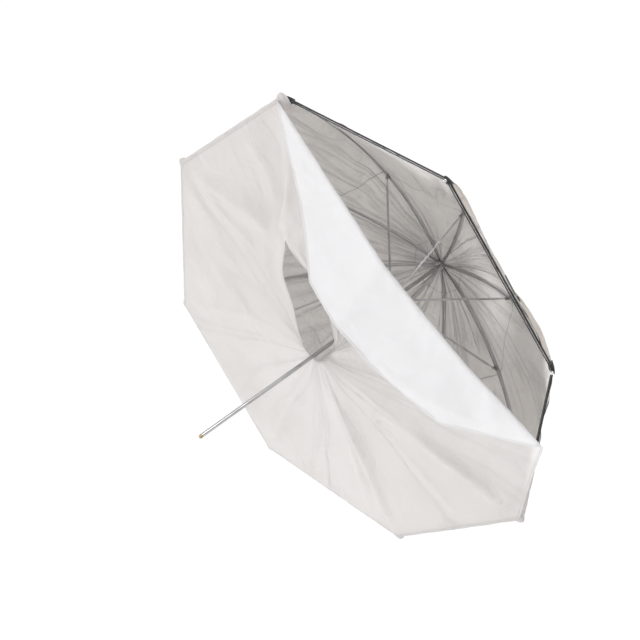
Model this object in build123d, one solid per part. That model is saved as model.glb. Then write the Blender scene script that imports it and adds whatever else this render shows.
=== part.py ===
from build123d import *
import os
from math import asin, atan2, cos, degrees, hypot, radians, sin, tan

# Folding reflective umbrella with a zip-open white front cover. Millimetres.
# The shaft lies along Y with the open side of the bowl towards -Y, and +Z is up. The origin is
# the point on the shaft's axis where a light bracket grips it.

# --- driving dimensions ---------------------------------------------------------------------
RIBS = 8
TIP_R = 500.0            # shaft's axis to a rib's tip, open
BOWL_DEPTH = 314.0       # rib pivots to the plane of the tips
RIB_RISE = 52.0          # how far a rib bends out from the straight line between its ends
GRIP_TO_PIVOTS = 415.0   # bracket's grip to the ring of rib pivots
GRIP_TO_FRONT = 302.0    # bracket's grip to the free end of the shaft's tube
SHAFT_R = 4.0
SHAFT_WALL = 0.8
NOTCH_PIVOT_R = 8.0      # shaft's axis to the rib pivots
RUNNER_PIVOT_R = 10.7    # shaft's axis to the stretchers' inner pivots
RUNNER_OPEN = 165.0      # rib pivots to runner pivots, open
FITTING_SHARE = 0.43     # where along a rib its stretcher is hung
CLOSED_TIP_R = 14.0      # shaft's axis to a rib's tip, closed
ROD_R = 1.5              # rib's rod
CLOTH = 0.8              # thickness of canopy and front cover
FRONT_REACH = 80.0       # how far the front cover's middle is drawn forward of its rim
FRONT_HALFWAY = 0.41     # share of that reach which it has halfway in from the rim
FOLD_GAP = 12.0          # front cover to the part of it that is folded back over it

# --- small parts ----------------------------------------------------------------------------
GAP = 0.1                # running clearance on a radius
EYE_R = 2.2              # flattened eye on a rib's root or a stretcher's end
EYE_HOLE_R = 1.06
EYE_THICK = 2.0
TONGUE = 9.0             # flattened length beyond an eye
WIRE_R = 0.75            # wire rings that the eyes turn on
WIRE_GROOVE = 2 * WIRE_R + 2 * GAP
RIVET_R = 1.0
SLOT = 2.6               # slots of the notch and of the runner's crown
NOTCH_R = 10.5
NOTCH_THICK = 7.0
NOTCH_FLOOR = 5.6        # shaft's axis to the bottom of a notch slot
NOTCH_BACK = 2.0
CROWN_R = 13.0
CROWN_THICK = 6.0
CROWN_FLOOR = 7.2
SLEEVE_R = 5.2
SLEEVE_LENGTH = 27.0
STRETCHER_WIDTH = 3.0
STRETCHER_HEIGHT = 3.2
STRETCHER_WALL = 0.6
PIVOT_DROP = 5.0         # rib's centreline down to the stretcher's outer pivot
EAR_THICK = 1.0
EAR_GAP = EYE_THICK + 0.6
BRACKET_LENGTH = 11.0
BRACKET_TOP = 2.1
TIP_BALL_R = 3.4
TIP_SOCKET_R = 2.5
TIP_SOCKET_LENGTH = 10.0
TIP_OVERHANG = 1.0       # socket's end beyond the rod's end
CATCH_LENGTH = 9.0
CATCH_WIDTH = 1.2
CATCH_HEIGHT = 2.3
CATCH_ROOT = 1.5
CATCH_SLACK = 0.3
CRIMP_WIDTH = 1.5
CRIMP_DEPTH = 0.35
PLUG_R = 3.7
PLUG_STEM = 14.0
PLUG_HEAD = 5.0
CAP_R = 19.0
CAP_THICK = 5.0
CAP_EDGE = 3.5
CAP_STUB_R = 6.5
CAP_LENGTH = 16.0
WASHER_R = 15.5
WASHER_THICK = 0.8
CANOPY_RISE = 3.8        # rib's centreline to the inside of the canopy
CANOPY_HOLE_R = 14.0
CANOPY_END_SHARE = 0.985
SEAM_GAP = 0.2           # half the gap between neighbouring cloth panels
FRONT_OFFSET = 8.0       # tips' plane to the front cover's rim
FRONT_RIM_R = 494.0
FRONT_HOLE_R = 25.0
FRONT_SLIT = [           # (x, z) round the slit that stands open above the shaft
    (-49.0, 226.0),
    (22.0, 150.0),
    (48.0, 50.0),
    (34.0, 0.0),
    (-30.0, 0.0),
    (-70.0, 150.0),
]
STRAP_THICK = 1.2
STRAP_RISE = 0.5         # canopy's outside to the strap
STRAP_SHARES = (0.935, 0.962)
STRAP_SPAN = (6.0, 62.0)  # from the gore's middle, towards rib 7
STRAP_FACE = CANOPY_RISE + CLOTH + STRAP_RISE + STRAP_THICK
SNAP_R = 6.0
SNAP_THICK = 2.4
SNAP_LIFT = 0.05         # stud's foot clear of the strap

STEP = 360 / RIBS
HALF_STEP = STEP / 2
GORE_PULL = cos(radians(HALF_STEP))  # a gore's middle against its ribs, in distance to the shaft
PIVOT_Y = GRIP_TO_PIVOTS
RIM_Y = PIVOT_Y - BOWL_DEPTH
RUNNER_Y = PIVOT_Y - RUNNER_OPEN
SLEEVE_BACK_Y = RUNNER_Y - CROWN_THICK / 2
CATCH_Y = SLEEVE_BACK_Y - SLEEVE_LENGTH - CATCH_SLACK
CRIMP_Y = CATCH_Y - CATCH_LENGTH - 4.0
CAP_Y = PIVOT_Y + NOTCH_THICK / 2 + NOTCH_BACK + 3.0
SHAFT_FRONT_Y = -GRIP_TO_FRONT
SHAFT_BACK_Y = CAP_Y + CAP_THICK - GAP
FAR = 2 * TIP_R

# --- a rib's arc, in its own plane: r from the shaft's axis and y along it --------------------
CHORD_R = TIP_R - NOTCH_PIVOT_R
CHORD = hypot(CHORD_R, BOWL_DEPTH)
OUT_R = BOWL_DEPTH / CHORD
OUT_Y = CHORD_R / CHORD
ARC_R = (CHORD**2 / 4 + RIB_RISE**2) / (2 * RIB_RISE)
ARC_HALF = asin(CHORD / 2 / ARC_R)
ARC_LENGTH = 2 * ARC_R * ARC_HALF
CENTRE_R = NOTCH_PIVOT_R + CHORD_R / 2 + OUT_R * (RIB_RISE - ARC_R)
CENTRE_Y = PIVOT_Y - BOWL_DEPTH / 2 + OUT_Y * (RIB_RISE - ARC_R)


def out_of_bowl(share):
    """(r, y) of the direction square to the rib, out of the bowl, at that share of its length."""
    turn = ARC_HALF * (2 * share - 1)
    return OUT_R * cos(turn) + OUT_Y * sin(turn), OUT_Y * cos(turn) - OUT_R * sin(turn)


def rib_place(share, rise=0.0):
    """(r, y) at that share of the rib from its pivot, rise mm outside its centreline."""
    out_r, out_y = out_of_bowl(share)
    return CENTRE_R + (ARC_R + rise) * out_r, CENTRE_Y + (ARC_R + rise) * out_y


# --- the linkage: what the joints need ----------------------------------------------------------
FITTING_R, FITTING_Y = rib_place(FITTING_SHARE, -PIVOT_DROP)
CRANK = hypot(FITTING_R - NOTCH_PIVOT_R, PIVOT_Y - FITTING_Y)
CRANK_OPEN = atan2(FITTING_R - NOTCH_PIVOT_R, PIVOT_Y - FITTING_Y)
TIP_OPEN = atan2(CHORD_R, BOWL_DEPTH)
TIP_CLOSED = asin((CLOSED_TIP_R - NOTCH_PIVOT_R) / CHORD)
RIB_TURN = TIP_OPEN - TIP_CLOSED
STRETCHER = hypot(FITTING_R - RUNNER_PIVOT_R, FITTING_Y - RUNNER_Y)
LEAN_OPEN = atan2(FITTING_R - RUNNER_PIVOT_R, FITTING_Y - RUNNER_Y)
FITTING_CLOSED_R = NOTCH_PIVOT_R + CRANK * sin(CRANK_OPEN - RIB_TURN)
LEAN_CLOSED = asin((FITTING_CLOSED_R - RUNNER_PIVOT_R) / STRETCHER)
STRETCHER_TURN = RIB_TURN + LEAN_OPEN - LEAN_CLOSED
RUNNER_CLOSED = CRANK * cos(CRANK_OPEN - RIB_TURN) + STRETCHER * cos(LEAN_CLOSED)
RUNNER_TRAVEL = RUNNER_CLOSED - RUNNER_OPEN


# --- helpers ----------------------------------------------------------------------------------------
def point(r, y, x=0.0):
    return Vector(x, y, r)


def to_rib(shape, number):
    """Turns a shape made in rib 1's plane round to that rib."""
    return shape.rotate(Axis.Y, -STEP * (number - 1))


def disc(y0, y1, outer, inner=0.0):
    """Round plate, or tube, on the shaft's axis from y0 to y1."""
    section = Circle(outer) - Circle(inner) if inner else Circle(outer)
    return extrude(Plane(origin=(0, y0, 0), z_dir=(0, 1, 0)) * section, y1 - y0)


def cross_pin(x0, x1, r, y, radius):
    """Cylinder across a rib's plane from x0 to x1."""
    return extrude(Plane(origin=(x0, y, r), z_dir=(1, 0, 0)) * Circle(radius), x1 - x0)


def block(x0, x1, y0, y1, z0, z1):
    return Pos((x0 + x1) / 2, (y0 + y1) / 2, (z0 + z1) / 2) * Box(x1 - x0, y1 - y0, z1 - z0)


def plate(outline, thick):
    """Plate in a rib's plane, half its thickness on each side."""
    face = make_face(Polyline(*[point(r, y) for r, y in outline], close=True))
    return extrude(face, thick / 2, dir=(1, 0, 0), both=True)


def on_rib(share):
    """Plane square to the rib there: x across it, y out of the bowl, z towards the tip."""
    out_r, out_y = out_of_bowl(share)
    return Plane(origin=point(*rib_place(share)), x_dir=(1, 0, 0), z_dir=(0, -out_r, out_y))


# --- shaft and what is fixed to it ---------------------------------------------------------------------
def shaft():
    """Steel tube with a rolled crimp and the slot that the catch stands through."""
    tube = disc(SHAFT_FRONT_Y, SHAFT_BACK_Y, SHAFT_R, SHAFT_R - SHAFT_WALL)
    crimp = disc(CRIMP_Y - CRIMP_WIDTH, CRIMP_Y, SHAFT_R + 1, SHAFT_R - CRIMP_DEPTH)
    half = CATCH_WIDTH / 2 + GAP
    slot = block(-half, half, CATCH_Y - CATCH_LENGTH - GAP, CATCH_Y + GAP, 0, SHAFT_R + 1)
    return tube - crimp - slot


def open_catch():
    """Leaf catch that stops the open runner from sliding forward."""
    low_y = CATCH_Y - CATCH_LENGTH
    high_r = SHAFT_R + CATCH_HEIGHT
    outline = [
        (CATCH_ROOT, low_y),
        (SHAFT_R - 0.5, low_y),
        (high_r, CATCH_Y - CATCH_ROOT),
        (high_r, CATCH_Y),
        (CATCH_ROOT, CATCH_Y),
    ]
    return plate(outline, CATCH_WIDTH)


def end_plug():
    """Plug with a rounded head that closes the shaft's free end."""
    y = SHAFT_FRONT_Y
    stem = disc(y, y + PLUG_STEM, SHAFT_R - SHAFT_WALL - GAP / 2)
    head = disc(y - PLUG_HEAD, y, PLUG_R)
    head = fillet(head.edges().sort_by(Axis.Y)[0], PLUG_R / 2)
    return stem + head


def slotted_collar(y, pivot_r, outer, thick, slot_floor):
    """Collar on the shaft with a slot for each rib and a groove for its wire ring."""
    collar = disc(y - thick / 2, y + thick / 2, outer, SHAFT_R + GAP)
    groove_r = pivot_r - WIRE_GROOVE / 2
    collar -= disc(y - WIRE_GROOVE / 2, y + WIRE_GROOVE / 2, outer + 1, groove_r)
    for number in range(1, RIBS + 1):
        slot = block(-SLOT / 2, SLOT / 2, y - thick, y + thick, slot_floor, outer + 1)
        collar -= to_rib(slot, number)
    return collar


def notch():
    """Hub fixed to the shaft: slots for the ribs' roots, closed behind by a plate."""
    hub = slotted_collar(PIVOT_Y, NOTCH_PIVOT_R, NOTCH_R, NOTCH_THICK, NOTCH_FLOOR)
    back = PIVOT_Y + NOTCH_THICK / 2
    return hub + disc(back, back + NOTCH_BACK, NOTCH_R, SHAFT_R + GAP)


def wire_ring(y, pivot_r):
    return Plane(origin=(0, y, 0), z_dir=(0, 1, 0)) * Torus(pivot_r, WIRE_R)


def crown_cap():
    """Domed cap on the shaft's back end that clamps the middle of the canopy."""
    flange = disc(CAP_Y, CAP_Y + CAP_THICK, CAP_R)
    flange = fillet(flange.edges().sort_by(Axis.Y)[-1], CAP_EDGE)
    stub = disc(CAP_Y + CAP_THICK - 1, CAP_Y + CAP_LENGTH, CAP_STUB_R)
    stub = fillet(stub.edges().sort_by(Axis.Y)[-1], CAP_STUB_R * 0.7)
    return flange + stub - disc(CAP_Y, CAP_Y + CAP_THICK, SHAFT_R + GAP / 2)


def crown_washer():
    """Thin washer between the notch and the middle of the canopy."""
    y = PIVOT_Y + NOTCH_THICK / 2 + NOTCH_BACK + CLOTH
    return disc(y, y + WASHER_THICK, WASHER_R, SHAFT_R + GAP / 2)


# --- runner -----------------------------------------------------------------------------------------------
def runner():
    """Slotted crown that carries the stretchers, with the sleeve that a hand pushes."""
    crown = slotted_collar(RUNNER_Y, RUNNER_PIVOT_R, CROWN_R, CROWN_THICK, CROWN_FLOOR)
    sleeve = disc(SLEEVE_BACK_Y - SLEEVE_LENGTH, SLEEVE_BACK_Y, SLEEVE_R, SHAFT_R + GAP)
    return crown + sleeve


# --- rib, its bracket and its tip ---------------------------------------------------------------------------
def rib():
    """Round rod bent to the bowl, with its root flattened to an eye."""
    root = TONGUE / ARC_LENGTH
    path = ThreePointArc(*[point(*rib_place(share)) for share in (root * 0.8, 0.5, 1.0)])
    rod = sweep(Plane(origin=path @ 0, z_dir=path % 0) * Circle(ROD_R), path)
    tongue = plate(
        [
            (NOTCH_PIVOT_R, PIVOT_Y + EYE_R * 0.8),
            rib_place(root, ROD_R * 0.9),
            rib_place(root, -ROD_R * 0.9),
            (NOTCH_PIVOT_R, PIVOT_Y - EYE_R * 0.8),
        ],
        EYE_THICK,
    )
    eye = cross_pin(-EYE_THICK / 2, EYE_THICK / 2, NOTCH_PIVOT_R, PIVOT_Y, EYE_R)
    hole = cross_pin(-EYE_THICK, EYE_THICK, NOTCH_PIVOT_R, PIVOT_Y, EYE_HOLE_R)
    return rod + tongue + eye - hole


def bracket():
    """Pressed clip round the rod whose two ears carry the stretcher, and its rivet."""
    half_width = EAR_GAP / 2 + EAR_THICK
    ear_height = PIVOT_DROP + EYE_R - BRACKET_TOP
    saddle = Box(2 * half_width, 2 * BRACKET_TOP, BRACKET_LENGTH)
    saddle -= Cylinder(ROD_R + GAP, BRACKET_LENGTH)
    ears = Box(2 * half_width, ear_height, 2 * EYE_R) - Box(EAR_GAP, ear_height, 2 * EYE_R)
    clip = saddle + Pos(0, -BRACKET_TOP - ear_height / 2, 0) * ears
    clip = on_rib(FITTING_SHARE) * clip
    clip -= cross_pin(-half_width, half_width, FITTING_R, FITTING_Y, RIVET_R + GAP / 5)
    head_x = half_width + 0.05
    rivet = cross_pin(-head_x, head_x, FITTING_R, FITTING_Y, RIVET_R)
    for x in (-head_x - RIVET_R * 0.7, head_x):
        rivet += cross_pin(x, x + RIVET_R * 0.7, FITTING_R, FITTING_Y, RIVET_R * 1.7)
    return Compound(children=[clip, rivet])


def tip():
    """Ball end with a socket that the rod is pushed into."""
    socket = Pos(0, 0, TIP_OVERHANG - TIP_SOCKET_LENGTH / 2)
    solid = socket * Cylinder(TIP_SOCKET_R, TIP_SOCKET_LENGTH)
    solid += Pos(0, 0, TIP_BALL_R) * Sphere(TIP_BALL_R)
    bore_length = TIP_SOCKET_LENGTH - TIP_OVERHANG + GAP
    solid -= Pos(0, 0, GAP - bore_length / 2) * Cylinder(ROD_R + GAP, bore_length)
    return on_rib(1.0) * solid


# --- stretcher -------------------------------------------------------------------------------------------------
def stretcher():
    """Channel from the rib's bracket to the runner, with a flat eye at each end."""
    run = STRETCHER - 2 * TONGUE
    middle = Pos(0, 0, STRETCHER / 2)
    body = middle * Box(STRETCHER_WIDTH, STRETCHER_HEIGHT, run)
    hollow_width = STRETCHER_WIDTH - 2 * STRETCHER_WALL
    hollow = Box(hollow_width, STRETCHER_HEIGHT, run - TONGUE)
    body -= middle * Pos(0, STRETCHER_WALL, 0) * hollow
    for z, inward in ((0, 1), (STRETCHER, -1)):
        tongue = Box(EYE_THICK, STRETCHER_HEIGHT, TONGUE + 1)
        body += Pos(0, 0, z + inward * (TONGUE + 1) / 2) * tongue
        body += Pos(0, 0, z) * Rot(0, 90, 0) * Cylinder(EYE_R, EYE_THICK)
        body -= Pos(0, 0, z) * Rot(0, 90, 0) * Cylinder(EYE_HOLE_R, EYE_THICK)
    place = Plane(
        origin=point(FITTING_R, FITTING_Y),
        x_dir=(1, 0, 0),
        z_dir=(0, -cos(LEAN_OPEN), -sin(LEAN_OPEN)),
    )
    return place * body


# --- canopy ------------------------------------------------------------------------------------------------------
def gore_line(start, end, rise, count=7):
    """Points along the middle of a gore, laid in the plane of x = 0."""
    shares = [start + (end - start) * k / (count - 1) for k in range(count)]
    places = [rib_place(share, rise) for share in shares]
    return [point(r * GORE_PULL, y) for r, y in places]


def canopy_section():
    start = (CANOPY_HOLE_R - NOTCH_PIVOT_R) / ARC_LENGTH
    inner = gore_line(start, CANOPY_END_SHARE, CANOPY_RISE)
    outer = gore_line(start, CANOPY_END_SHARE, CANOPY_RISE + CLOTH)
    edges = [Spline(*inner), Line(inner[-1], outer[-1]), Spline(*outer), Line(outer[0], inner[0])]
    return make_face(edges)


def half_gore_room(sign):
    """Everything between a gore's middle and the rib beside it, on the side of that sign."""
    side = SEAM_GAP + FAR * tan(radians(HALF_STEP))
    start = SEAM_GAP / tan(radians(HALF_STEP))
    outline = [(sign * SEAM_GAP, start), (sign * SEAM_GAP, FAR), (sign * side, FAR + start)]
    face = make_face(Polyline(*[point(z, 0, x) for x, z in outline], close=True))
    return extrude(face, FAR, dir=(0, 1, 0), both=True)


def canopy_panel():
    """Cloth on one rib, out to the middle of the gore on each side of it."""
    section = canopy_section()
    halves = []
    for sign in (-1, 1):
        slab = extrude(section, TIP_R / 2, dir=(sign, 0, 0))
        halves.append((slab & half_gore_room(sign)).rotate(Axis.Y, -sign * HALF_STEP))
    return halves[0] + halves[1]


def on_gore(shape):
    """Turns a shape made at the middle of a gore round to the gore between ribs 7 and 8."""
    return to_rib(shape.rotate(Axis.Y, -HALF_STEP), 7)


def tie_strap():
    """Closing strap that lies along the hem, outside the canopy."""
    low = CANOPY_RISE + CLOTH + STRAP_RISE
    inner = gore_line(*STRAP_SHARES, low, count=2)
    outer = gore_line(*STRAP_SHARES, low + STRAP_THICK, count=2)
    face = make_face(Polyline(inner[0], inner[1], outer[1], outer[0], close=True))
    x0, x1 = STRAP_SPAN
    return on_gore(Pos(x0, 0, 0) * extrude(face, x1 - x0, dir=(1, 0, 0)))


def strap_snap():
    """Press stud at the strap's free end."""
    low, high = gore_line(*STRAP_SHARES, STRAP_FACE, count=2)
    along = (high - low).normalized()
    outward = Vector(0, along.Z, -along.Y)
    x = STRAP_SPAN[1] - SNAP_R - 1
    foot = (low + high) / 2 + outward * SNAP_LIFT + Vector(x, 0, 0)
    place = Plane(origin=foot, x_dir=(1, 0, 0), z_dir=outward)
    return on_gore(extrude(place * Circle(SNAP_R), SNAP_THICK))


# --- front cover: drawn forward in the middle, part of it folded back over the rest -----------------------------------------
def rim_corner(number):
    """(x, z) of the front cover's corner at that rib."""
    angle = radians(-STEP * (number - 1))
    return Vector(FRONT_RIM_R * sin(angle), FRONT_RIM_R * cos(angle))


def between(a, b):
    return (a + b) / 2


CORNER = {number: rim_corner(number) for number in range(1, RIBS + 1)}
MIDDLE = Vector(0, 0)
FOLD_START = CORNER[1]
FOLD_END = between(CORNER[6], CORNER[7])
FOLD_DIR = (FOLD_END - FOLD_START).normalized()
FOLD_FOOT = FOLD_START + FOLD_DIR * (MIDDLE - FOLD_START).dot(FOLD_DIR)


def folded(corner):
    """Where that corner lies once it is folded over the line from corner 1 to the fold's end."""
    along = FOLD_START + FOLD_DIR * (corner - FOLD_START).dot(FOLD_DIR)
    return along * 2 - corner


def hem_split():
    """Where the line from the fold's foot to the shaft meets the folded hem."""
    a, b = folded(CORNER[8]), folded(CORNER[7])
    start, end = (a - FOLD_FOOT).dot(FOLD_DIR), (b - FOLD_FOOT).dot(FOLD_DIR)
    return a + (b - a) * (-start / (end - start))


def front_prism(outline):
    """Everything in front of and behind that face, drawn in (x, z)."""
    facing = Plane(origin=(0, 0, 0), x_dir=(1, 0, 0), z_dir=(0, -1, 0))
    return extrude(facing * outline, FAR, both=True)


def front_cloth(forward):
    """Eight-sided cloth drawn forward to a hole and a slit, moved forward as a whole."""
    rim_y = RIM_Y - FRONT_OFFSET - forward
    hole_share = FRONT_HOLE_R / FRONT_RIM_R
    rings = [(1.0, 0.0), (0.5, FRONT_HALFWAY), (hole_share, 1.0)]
    cloth = []
    for number in range(1, RIBS + 1):
        a, b = CORNER[number], CORNER[number % RIBS + 1]
        for (outer, low), (inner, high) in zip(rings, rings[1:]):
            corners = [
                (a.X * outer, rim_y - low * FRONT_REACH, a.Y * outer),
                (b.X * outer, rim_y - low * FRONT_REACH, b.Y * outer),
                (b.X * inner, rim_y - high * FRONT_REACH, b.Y * inner),
                (a.X * inner, rim_y - high * FRONT_REACH, a.Y * inner),
            ]
            face = make_face(Polyline(*corners, close=True))
            cloth.append(extrude(face, CLOTH, dir=(0, -1, 0)))
    slit = front_prism(make_face(Polyline(*FRONT_SLIT, close=True)))
    return cloth[0] + cloth[1:] - slit


def front_piece(corners, forward=0.0):
    """The part of the front cover inside that outline, a seam's gap in from it."""
    outline = make_face(Polyline(*[(c.X, c.Y) for c in corners], close=True))
    outline = offset(outline, amount=-SEAM_GAP, kind=Kind.INTERSECTION)
    return front_cloth(forward) & front_prism(outline)


def front_pieces():
    """One piece of cloth on each rib tip that holds the cover, and the two halves of its flap."""
    rim_middle = {n: between(CORNER[n], CORNER[n % RIBS + 1]) for n in CORNER}
    split = hem_split()
    pieces = {"front_1": front_piece([MIDDLE, rim_middle[1], CORNER[1], FOLD_FOOT])}
    for n in range(2, 6):
        outline = [MIDDLE, rim_middle[n], CORNER[n], rim_middle[n - 1]]
        pieces[f"front_{n}"] = front_piece(outline)
    outline = [MIDDLE, FOLD_FOOT, FOLD_END, CORNER[6], rim_middle[5]]
    pieces["front_6"] = front_piece(outline)
    outline = [CORNER[1], folded(CORNER[8]), split, FOLD_FOOT]
    pieces["flap_upper"] = front_piece(outline, FOLD_GAP)
    outline = [FOLD_FOOT, split, folded(CORNER[7]), FOLD_END]
    pieces["flap_lower"] = front_piece(outline, FOLD_GAP)
    return pieces


# --- assembly -------------------------------------------------------------------------------------------------------
def all_nodes():
    nodes = {
        "shaft": shaft(),
        "open_catch": open_catch(),
        "end_plug": end_plug(),
        "notch": notch(),
        "notch_wire": wire_ring(PIVOT_Y, NOTCH_PIVOT_R),
        "crown_cap": crown_cap(),
        "crown_washer": crown_washer(),
        "runner": runner(),
        "runner_wire": wire_ring(RUNNER_Y, RUNNER_PIVOT_R),
        "tie_strap": tie_strap(),
        "strap_snap": strap_snap(),
    }
    on_each_rib = {
        "rib": rib(),
        "rib_bracket": bracket(),
        "rib_tip": tip(),
        "stretcher": stretcher(),
        "canopy": canopy_panel(),
    }
    for name, shape in on_each_rib.items():
        for number in range(1, RIBS + 1):
            nodes[f"{name}_{number}"] = to_rib(shape, number)
    nodes.update(front_pieces())
    return nodes


if __name__ == "__main__":
    os.makedirs("parts", exist_ok=True)
    for name, shape in all_nodes().items():
        export_step(shape, f"parts/{name}.step")
    print("runner travel", round(RUNNER_TRAVEL, 3), "rib turn", round(degrees(RIB_TURN), 4))
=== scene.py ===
from math import asin, atan2, cos, exp, hypot, pi, radians, sin, sqrt

import bmesh
import bpy
from mathutils import Matrix, Vector, noise


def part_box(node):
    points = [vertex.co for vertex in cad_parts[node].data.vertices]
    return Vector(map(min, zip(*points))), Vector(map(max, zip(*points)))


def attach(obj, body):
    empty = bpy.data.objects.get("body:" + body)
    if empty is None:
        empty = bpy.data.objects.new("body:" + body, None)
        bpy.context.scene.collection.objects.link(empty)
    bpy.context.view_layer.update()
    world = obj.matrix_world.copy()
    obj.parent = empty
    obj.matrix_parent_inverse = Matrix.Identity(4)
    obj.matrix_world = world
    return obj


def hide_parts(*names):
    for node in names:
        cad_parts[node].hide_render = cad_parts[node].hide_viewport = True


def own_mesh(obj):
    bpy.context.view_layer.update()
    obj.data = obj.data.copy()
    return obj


# A folding reflective umbrella: silvered canopy on eight ribs, and a white front cover that is
# zipped open on one side and folded back over itself. Metres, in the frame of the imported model:
# the shaft along Y, the open side towards -Y, +Z up.

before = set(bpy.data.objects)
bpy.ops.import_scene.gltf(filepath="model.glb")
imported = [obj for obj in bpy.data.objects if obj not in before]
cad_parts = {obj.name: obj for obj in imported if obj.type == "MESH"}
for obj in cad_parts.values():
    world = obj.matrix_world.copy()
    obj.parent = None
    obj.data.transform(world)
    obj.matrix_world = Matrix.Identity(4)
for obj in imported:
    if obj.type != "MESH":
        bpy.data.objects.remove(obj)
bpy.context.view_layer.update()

# --- the frame's dimensions -----------------------------------------------------------------
RIBS = 8
TIP_R = 0.5
BOWL_DEPTH = 0.314
RIB_RISE = 0.052
PIVOT_R = 0.008
PIVOT_Y = 0.415
RIM_Y = PIVOT_Y - BOWL_DEPTH
CLOTH_RISE = 0.0038        # rib's centreline to the inside of the canopy
CANOPY_HOLE_R = 0.0135
CANOPY_END_SHARE = 0.985
FRONT_RIM_R = 0.499
FRONT_RIM_Y = RIM_Y - 0.008
FRONT_HOLE_R = 0.018
FRONT_REACH = 0.080        # how far the cover's middle is drawn forward of its rim
FOLD_GAP = 0.0125          # front cover to the part folded back over it

STEP = 2 * pi / RIBS
CLOTH_THICK = 0.0005

# --- a rib's arc in its own plane -------------------------------------------------------------
CHORD_R = TIP_R - PIVOT_R
CHORD = hypot(CHORD_R, BOWL_DEPTH)
OUT_R = BOWL_DEPTH / CHORD
OUT_Y = CHORD_R / CHORD
ARC_R = (CHORD**2 / 4 + RIB_RISE**2) / (2 * RIB_RISE)
ARC_HALF = asin(CHORD / 2 / ARC_R)
ARC_LENGTH = 2 * ARC_R * ARC_HALF
CENTRE_R = PIVOT_R + CHORD_R / 2 + OUT_R * (RIB_RISE - ARC_R)
CENTRE_Y = PIVOT_Y - BOWL_DEPTH / 2 + OUT_Y * (RIB_RISE - ARC_R)
START_SHARE = (CANOPY_HOLE_R - PIVOT_R) / ARC_LENGTH


def rib_place(share, rise=0.0):
    """(r, y) at that share of the rib from its pivot, rise metres outside its centreline."""
    turn = ARC_HALF * (2 * share - 1)
    out_r = OUT_R * cos(turn) + OUT_Y * sin(turn)
    out_y = OUT_Y * cos(turn) - OUT_R * sin(turn)
    return CENTRE_R + (ARC_R + rise) * out_r, CENTRE_Y + (ARC_R + rise) * out_y


def rib_angle(number):
    """Angle of that rib from +Z towards +X."""
    return -STEP * (number - 1)


def round_shaft(r, y, angle):
    return Vector((r * sin(angle), y, r * cos(angle)))


def across(number):
    """Direction square to that rib's plane."""
    return (cos(rib_angle(number)), 0.0, -sin(rib_angle(number)))


def smooth(value):
    """0 below 0, 1 above 1, and an even curve between them."""
    value = min(1.0, max(0.0, value))
    return value * value * (3 - 2 * value)


# --- materials --------------------------------------------------------------------------------
def node(tree, kind, **values):
    made = tree.nodes.new(kind)
    for name, value in values.items():
        if name in made.inputs:
            made.inputs[name].default_value = value
        else:
            setattr(made, name, value)
    return made


def new_material(name, colour, roughness, metallic=0.0):
    """Material with one shader, and the object's own coordinates for its patterns."""
    material = bpy.data.materials.new(name)
    material.use_nodes = True
    tree = material.node_tree
    shader = tree.nodes["Principled BSDF"]
    shader.inputs["Base Color"].default_value = (*colour, 1)
    shader.inputs["Roughness"].default_value = roughness
    shader.inputs["Metallic"].default_value = metallic
    place = node(tree, "ShaderNodeTexCoord")
    return material, tree, shader, place.outputs["Object"]


def noise_value(tree, place, scale, detail=3.0, stretch=None, distortion=0.0):
    """Soft noise with that many features to the metre, drawn out along the stretched axes."""
    if stretch:
        mapping = node(tree, "ShaderNodeMapping", Scale=stretch)
        tree.links.new(place, mapping.inputs["Vector"])
        place = mapping.outputs["Vector"]
    made = node(tree, "ShaderNodeTexNoise", Scale=scale, Detail=detail, Distortion=distortion)
    tree.links.new(place, made.inputs["Vector"])
    return made.outputs["Fac"]


def colour_between(tree, value, low, high, start=0.3, end=0.7):
    ramp = node(tree, "ShaderNodeValToRGB")
    ramp.color_ramp.elements[0].position = start
    ramp.color_ramp.elements[0].color = (*low, 1)
    ramp.color_ramp.elements[1].position = end
    ramp.color_ramp.elements[1].color = (*high, 1)
    tree.links.new(value, ramp.inputs["Fac"])
    return ramp.outputs["Color"]


def value_between(tree, value, low, high):
    made = node(tree, "ShaderNodeMapRange")
    made.inputs["To Min"].default_value = low
    made.inputs["To Max"].default_value = high
    tree.links.new(value, made.inputs["Value"])
    return made.outputs["Result"]


def add_bump(tree, shader, height, distance, strength=1.0):
    """Lays one more pattern of bumps over those that the shader already has."""
    bump = node(tree, "ShaderNodeBump", Strength=strength, Distance=distance)
    tree.links.new(height, bump.inputs["Height"])
    before = shader.inputs["Normal"].links
    if before:
        tree.links.new(before[0].from_socket, bump.inputs["Normal"])
    tree.links.new(bump.outputs["Normal"], shader.inputs["Normal"])


def weave(tree, place, pitch):
    """Height of a plain weave with that pitch, from two crossed waves."""
    heights = []
    for direction in ("X", "Z"):
        wave = node(tree, "ShaderNodeTexWave", Scale=1 / pitch / 20 * pi, Distortion=0.0)
        wave.bands_direction = direction
        tree.links.new(place, wave.inputs["Vector"])
        heights.append(wave.outputs["Fac"])
    both = node(tree, "ShaderNodeMath", operation="MAXIMUM")
    tree.links.new(heights[0], both.inputs[0])
    tree.links.new(heights[1], both.inputs[1])
    return both.outputs["Value"]


SEAM_HALF = 0.0055         # folded seam or hem, from its middle or from the cloth's edge
STITCH_OFF = 0.0042        # its line of stitches
STITCH_HALF = 0.0007


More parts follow.
